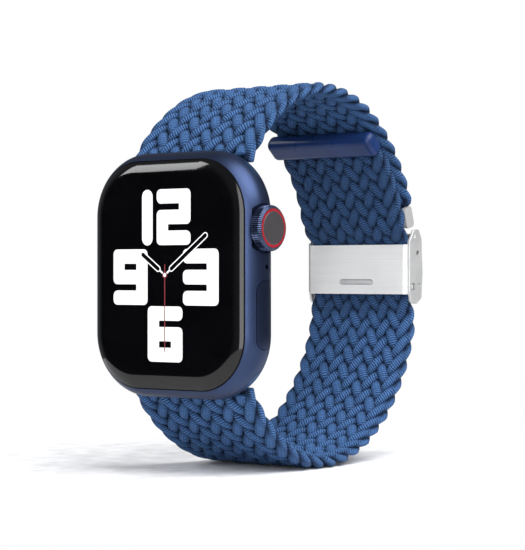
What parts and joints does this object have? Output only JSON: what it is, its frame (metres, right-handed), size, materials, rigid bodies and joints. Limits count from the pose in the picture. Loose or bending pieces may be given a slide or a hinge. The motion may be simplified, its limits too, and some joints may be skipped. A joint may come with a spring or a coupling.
{
  "type": "fitness watch with braided loop band",
  "caption": "Rounded-square fitness watch with a crown and side button on a flat braided loop band, closed by a metal clamp clasp.",
  "frame": {"origin": "centre of the back crystal's flat face, which rests on the wrist or on a charging puck", "axes": "+X towards the crown side, +Y out of the back crystal into the wrist, +Z towards 12 o'clock, so the display faces -Y"},
  "size_m": [0.0395, 0.0641, 0.0708],
  "materials": {
    "case_aluminium": "fine-blasted dark blue anodised",
    "lug_aluminium": "satin dark blue anodised",
    "cover_glass": "polished, opaque black from the display bonded behind it",
    "seal_rubber": "matte",
    "display_panel": "gloss",
    "back_crystal": "polished ceramic and crystal",
    "trim_ring": "gloss",
    "bare_steel": "machined",
    "crown_red": "gloss red",
    "crown_cap": "satin grey",
    "board": "solder mask",
    "module_black": "moulded",
    "battery_wrap": "foil pouch",
    "coil_copper": "enamelled copper",
    "inner_bracket": "machined",
    "bushing": "machined",
    "strap_fabric": "flat braid",
    "clasp_metal": "fine satin silver",
    "clasp_pin": "machined",
    "tail_cap": "gloss",
    "grip_pad": "matte"
  },
  "bodies": {
    "watch_head": {"case_shell": "case_aluminium", "cover_glass": "cover_glass", "display_gasket": "seal_rubber", "display_panel": "display_panel", "mid_frame": "inner_bracket", "frame_screws": "bare_steel", "back_crystal": "back_crystal", "back_trim_ring": "trim_ring", "sensor_board": "board", "charging_coil": "coil_copper", "battery": "battery_wrap", "logic_board": "board", "haptic_motor": "module_black", "speaker_module": "module_black", "microphone": "module_black", "crown_bushing": "bushing", "crown_switch": "module_black", "side_button_switch": "module_black"},
    "crown_slider": {"crown_push_plate": "bare_steel"},
    "crown": {"crown_knob": "case_aluminium", "crown_ring": "crown_red", "crown_cap": "crown_cap", "crown_shaft": "bare_steel", "crown_seal": "seal_rubber", "crown_encoder_disc": "module_black"},
    "side_key": {"side_button": "case_aluminium", "side_button_seal": "seal_rubber"},
    "upper_release": {"upper_release_button": "case_aluminium"},
    "lower_release": {"lower_release_button": "case_aluminium"},
    "upper_band": {"upper_lug": "lug_aluminium", "upper_lug_latch": "bare_steel", "upper_lug_rivets": "bare_steel", "upper_strap": "strap_fabric", "end_ferrule": "clasp_metal"},
    "lower_band": {"lower_lug": "lug_aluminium", "lower_lug_latch": "bare_steel", "lower_lug_rivets": "bare_steel", "lower_strap": "strap_fabric", "strap_tail_cap": "tail_cap", "clasp_frame": "clasp_metal", "clasp_base": "clasp_metal", "clasp_grip_liner": "grip_pad", "lever_pin": "clasp_pin", "ferrule_pin": "clasp_pin"},
    "lever": {"clasp_lever": "clasp_metal", "clasp_grip_teeth": "bare_steel", "clasp_detent_pins": "clasp_pin"}
  },
  "joints": [
    {"name": "crown_press", "type": "slide", "parent": "watch_head", "child": "crown_slider", "axis": [-1, 0, 0], "range_m": [0, 0.0004], "stiffness_N_per_m": 1500, "springref_m": -0.0002},
    {"name": "crown_spin", "type": "hinge", "parent": "crown_slider", "child": "crown", "pos_m": [0, -0.0059, 0.0081], "axis": [1, 0, 0], "continuous": true},
    {"name": "side_button_press", "type": "slide", "parent": "watch_head", "child": "side_key", "axis": [-1, 0, 0], "range_m": [0, 0.00035], "stiffness_N_per_m": 1500, "springref_m": -0.0002},
    {"name": "upper_release_press", "type": "slide", "parent": "watch_head", "child": "upper_release", "axis": [0, -1, 0], "range_m": [0, 0.0005], "stiffness_N_per_m": 1200, "springref_m": -0.0002},
    {"name": "lower_release_press", "type": "slide", "parent": "watch_head", "child": "lower_release", "axis": [0, -1, 0], "range_m": [0, 0.0005], "stiffness_N_per_m": 1200, "springref_m": -0.0002},
    {"name": "lower_band_slide", "type": "slide", "parent": "watch_head", "child": "lower_band", "axis": [1, 0, 0], "range_m": [-0.036, 0.036]},
    {"name": "upper_band_slide", "type": "slide", "parent": "watch_head", "child": "upper_band", "axis": [1, 0, 0], "range_m": [-0.036, 0.036]},
    {"name": "clasp_lever_open", "type": "hinge", "parent": "lower_band", "child": "lever", "pos_m": [0, 0.05165, 0.0044], "axis": [1, 0, 0], "range_deg": [0, 95]}
  ],
  "couplings": [
    {"joint": "upper_band_slide", "follows": "lower_band_slide", "ratio": 1}
  ]
}
